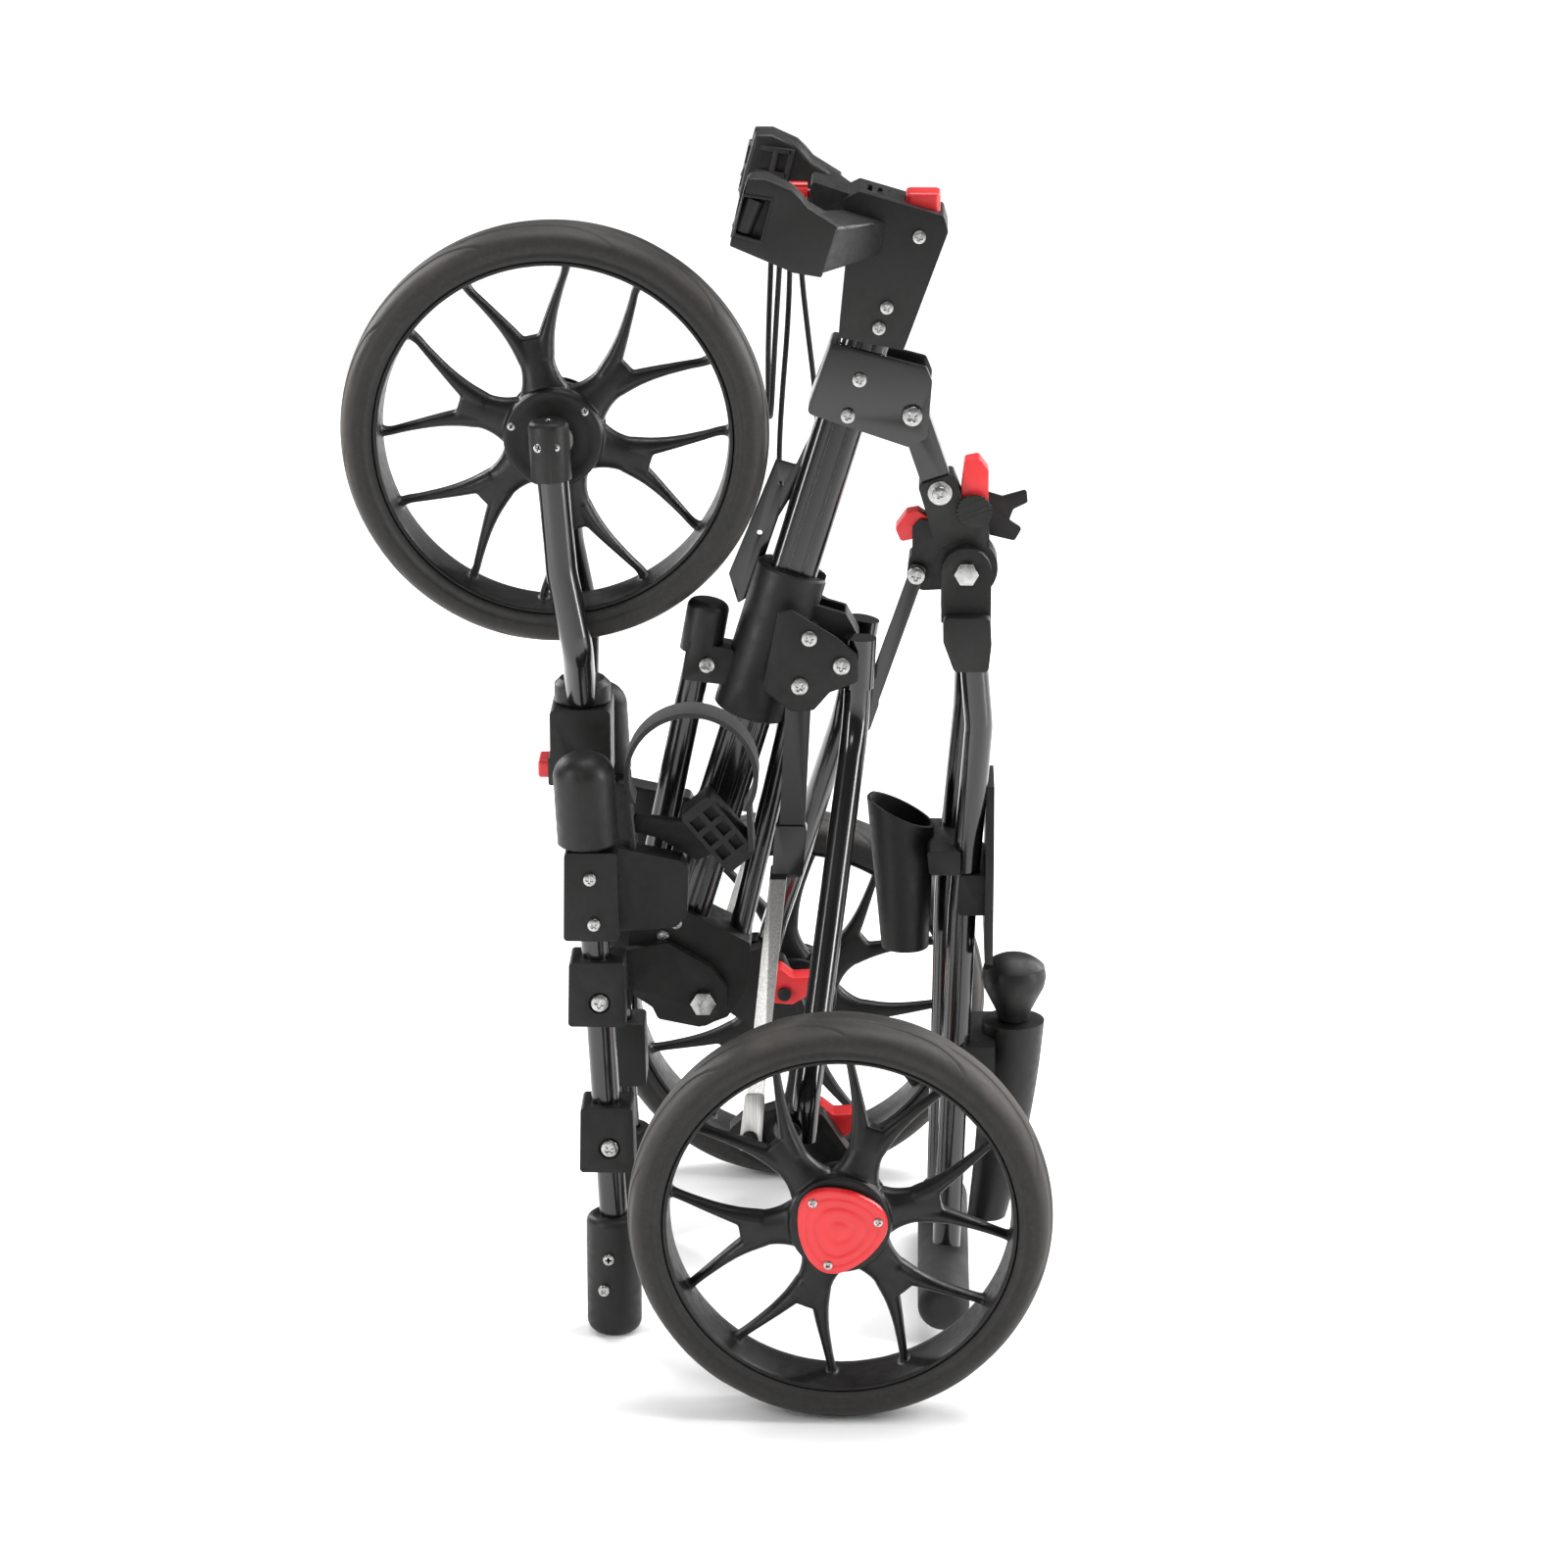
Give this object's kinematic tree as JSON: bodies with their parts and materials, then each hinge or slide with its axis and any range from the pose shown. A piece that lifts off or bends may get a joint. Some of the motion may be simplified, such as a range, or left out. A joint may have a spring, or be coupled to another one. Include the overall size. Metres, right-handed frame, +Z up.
{
  "type": "golf push cart",
  "caption": "Folding three-wheel golf push cart, folded and standing upright, with swivel front wheel, bag cradle arms, parallelogram rear legs and a folding handle.",
  "frame": {"origin": "centre of the bounding box's base: on the floor under the folded cart, on its left-right mid plane", "axes": "+Z up, +X to the cart's rear (the user's side), -Y to the cart's left"},
  "size_m": [0.5, 0.501, 0.841],
  "materials": {
    "black_paint": "gloss powder coat",
    "black_plastic": "fine moulded grain",
    "wheel_plastic": "satin moulded",
    "red_plastic": "satin",
    "zinc": "zinc plated",
    "tyre_foam": "foam rubber",
    "pad_rubber": "soft rubber",
    "grip_foam": "foam",
    "webbing": "woven",
    "cord": "braided"
  },
  "bodies": {
    "frame": {"main_beam": "black_paint", "head_bracket": "black_plastic", "cradle_arms": "black_plastic", "arm_pads": "pad_rubber", "handle_bracket": "black_paint", "leg_collar": "black_plastic", "collar_plates": "black_plastic", "stay_tubes": "black_paint", "stay_knuckle": "black_plastic", "pivot_block": "black_plastic", "frame_bolts": "zinc", "cradle_cord_one": "cord", "cradle_cord_two": "cord"},
    "head_button": {"head_button": "red_plastic"},
    "cradle_knob": {"cradle_knob": "red_plastic"},
    "front_frame": {"front_tubes": "black_paint", "tube_end_caps": "black_plastic", "swivel_housing": "black_plastic", "frame_clamps": "black_plastic", "front_feet": "black_plastic", "lower_cradle": "black_plastic", "pivot_arms": "black_plastic", "front_bolts": "zinc", "lower_strap": "webbing", "strap_buckle": "pad_rubber"},
    "swivel_button": {"swivel_button": "red_plastic"},
    "fork": {"fork_crown": "black_plastic", "fork_legs": "black_paint", "axle_fittings": "black_plastic", "front_axle": "zinc"},
    "front_wheel": {"front_tyre": "tyre_foam", "front_wheel": "wheel_plastic", "front_bearings": "zinc"},
    "leg_left": {"leg_left": "black_paint"},
    "link_left": {"link_left": "black_paint"},
    "axle_bracket_left": {"axle_bracket_left": "black_plastic"},
    "rear_wheel_left": {"rear_tyre_left": "tyre_foam", "rear_wheel_left": "wheel_plastic", "hub_cap_left": "red_plastic"},
    "brake_left": {"brake_lever_left": "red_plastic"},
    "leg_right": {"leg_right": "black_paint"},
    "link_right": {"link_right": "black_paint"},
    "axle_bracket_right": {"axle_bracket_right": "black_plastic"},
    "rear_wheel_right": {"rear_tyre_right": "tyre_foam", "rear_wheel_right": "wheel_plastic", "hub_cap_right": "red_plastic"},
    "brake_right": {"brake_lever_right": "red_plastic"},
    "handle_link": {"link_arm": "black_paint", "angle_hub": "black_plastic", "link_bolts": "zinc"},
    "cam_lever_top": {"cam_lever_top": "red_plastic"},
    "cam_lever_side": {"cam_lever_side": "red_plastic"},
    "handle_strut": {"handle_strut": "black_paint"},
    "handle": {"handle_tubes": "black_paint", "hub_yoke": "black_plastic", "grip": "grip_foam", "cup_holder": "black_plastic", "console": "black_plastic", "umbrella_holder": "black_plastic"},
    "umbrella_knob": {"umbrella_knob": "black_plastic"}
  },
  "joints": [
    {"name": "front_fold", "type": "hinge", "parent": "frame", "child": "front_frame", "pos_m": [0.003, 0, 0.232], "axis": [0, -1, 0], "range_deg": [0, 105]},
    {"name": "fork_swivel", "type": "hinge", "parent": "front_frame", "child": "fork", "pos_m": [-0.083, 0, 0.447], "axis": [0, 0, 1], "range_deg": [-90, 90]},
    {"name": "front_wheel_spin", "type": "hinge", "parent": "fork", "child": "front_wheel", "pos_m": [-0.1, 0, 0.642], "axis": [0, 1, 0], "continuous": true},
    {"name": "rear_fold", "type": "hinge", "parent": "frame", "child": "leg_left", "pos_m": [0.1013, 0, 0.4859], "axis": [0, -1, 0], "range_deg": [0, 40]},
    {"name": "link_left_fold", "type": "hinge", "parent": "frame", "child": "link_left", "pos_m": [0.072, 0, 0.4709], "axis": [0, -1, 0], "range_deg": [0, 40]},
    {"name": "bracket_left_turn", "type": "hinge", "parent": "leg_left", "child": "axle_bracket_left", "pos_m": [0.0693, 0, 0.1919], "axis": [0, -1, 0], "range_deg": [-40, 0]},
    {"name": "rear_left_spin", "type": "hinge", "parent": "axle_bracket_left", "child": "rear_wheel_left", "pos_m": [0.104, -0.222, 0.146], "axis": [0, 1, 0], "continuous": true},
    {"name": "brake_left_press", "type": "hinge", "parent": "axle_bracket_left", "child": "brake_left", "pos_m": [0.092, -0.131, 0.176], "axis": [0, 1, 0], "range_deg": [0, 18]},
    {"name": "leg_right_fold", "type": "hinge", "parent": "frame", "child": "leg_right", "pos_m": [0.1013, 0, 0.4859], "axis": [0, -1, 0], "range_deg": [0, 47]},
    {"name": "link_right_fold", "type": "hinge", "parent": "frame", "child": "link_right", "pos_m": [0.072, 0, 0.4709], "axis": [0, -1, 0], "range_deg": [0, 47]},
    {"name": "bracket_right_turn", "type": "hinge", "parent": "leg_right", "child": "axle_bracket_right", "pos_m": [0.03471, 0, 0.19776], "axis": [0, -1, 0], "range_deg": [-47, 0]},
    {"name": "rear_right_spin", "type": "hinge", "parent": "axle_bracket_right", "child": "rear_wheel_right", "pos_m": [0.062, 0.222, 0.146], "axis": [0, 1, 0], "continuous": true},
    {"name": "brake_right_press", "type": "hinge", "parent": "axle_bracket_right", "child": "brake_right", "pos_m": [0.05741, 0.131, 0.18186], "axis": [0, 1, 0], "range_deg": [0, 18]},
    {"name": "handle_fold", "type": "hinge", "parent": "frame", "child": "handle_link", "pos_m": [0.1494, 0, 0.6598], "axis": [0, -1, 0], "range_deg": [0, 110]},
    {"name": "strut_turn", "type": "hinge", "parent": "handle_link", "child": "handle_strut", "pos_m": [0.153, -0.014, 0.5448], "axis": [0, -1, 0], "range_deg": [-110, 0]},
    {"name": "cam_top_release", "type": "hinge", "parent": "handle_link", "child": "cam_lever_top", "pos_m": [0.193, 0, 0.59], "axis": [0, 1, 0], "range_deg": [0, 45]},
    {"name": "cam_side_release", "type": "hinge", "parent": "handle_link", "child": "cam_lever_side", "pos_m": [0.157, 0, 0.577], "axis": [0, 1, 0], "range_deg": [0, 30]},
    {"name": "handle_tilt", "type": "hinge", "parent": "handle_link", "child": "handle", "pos_m": [0.188, 0, 0.5484], "axis": [0, -1, 0], "range_deg": [0, 55]},
    {"name": "umbrella_knob_turn", "type": "hinge", "parent": "handle", "child": "umbrella_knob", "pos_m": [0.2255, 0, 0.22], "axis": [0, 0, 1], "continuous": true},
    {"name": "cradle_knob_turn", "type": "hinge", "parent": "frame", "child": "cradle_knob", "pos_m": [0.076, 0, 0.812], "axis": [-1, 0, 0], "range_deg": [-45, 45]},
    {"name": "head_button_press", "type": "slide", "parent": "frame", "child": "head_button", "axis": [0, 0, -1], "range_m": [0, 0.004], "stiffness_N_per_m": 400},
    {"name": "swivel_lock_press", "type": "slide", "parent": "front_frame", "child": "swivel_button", "axis": [1, 0, 0], "range_m": [0, 0.003], "stiffness_N_per_m": 400}
  ],
  "couplings": [
    {"joint": "link_left_fold", "follows": "rear_fold", "ratio": 1},
    {"joint": "bracket_left_turn", "follows": "rear_fold", "ratio": -1},
    {"joint": "leg_right_fold", "follows": "rear_fold", "ratio": 1.17},
    {"joint": "link_right_fold", "follows": "rear_fold", "ratio": 1.17},
    {"joint": "bracket_right_turn", "follows": "rear_fold", "ratio": -1.17},
    {"joint": "strut_turn", "follows": "handle_fold", "ratio": -1}
  ]
}
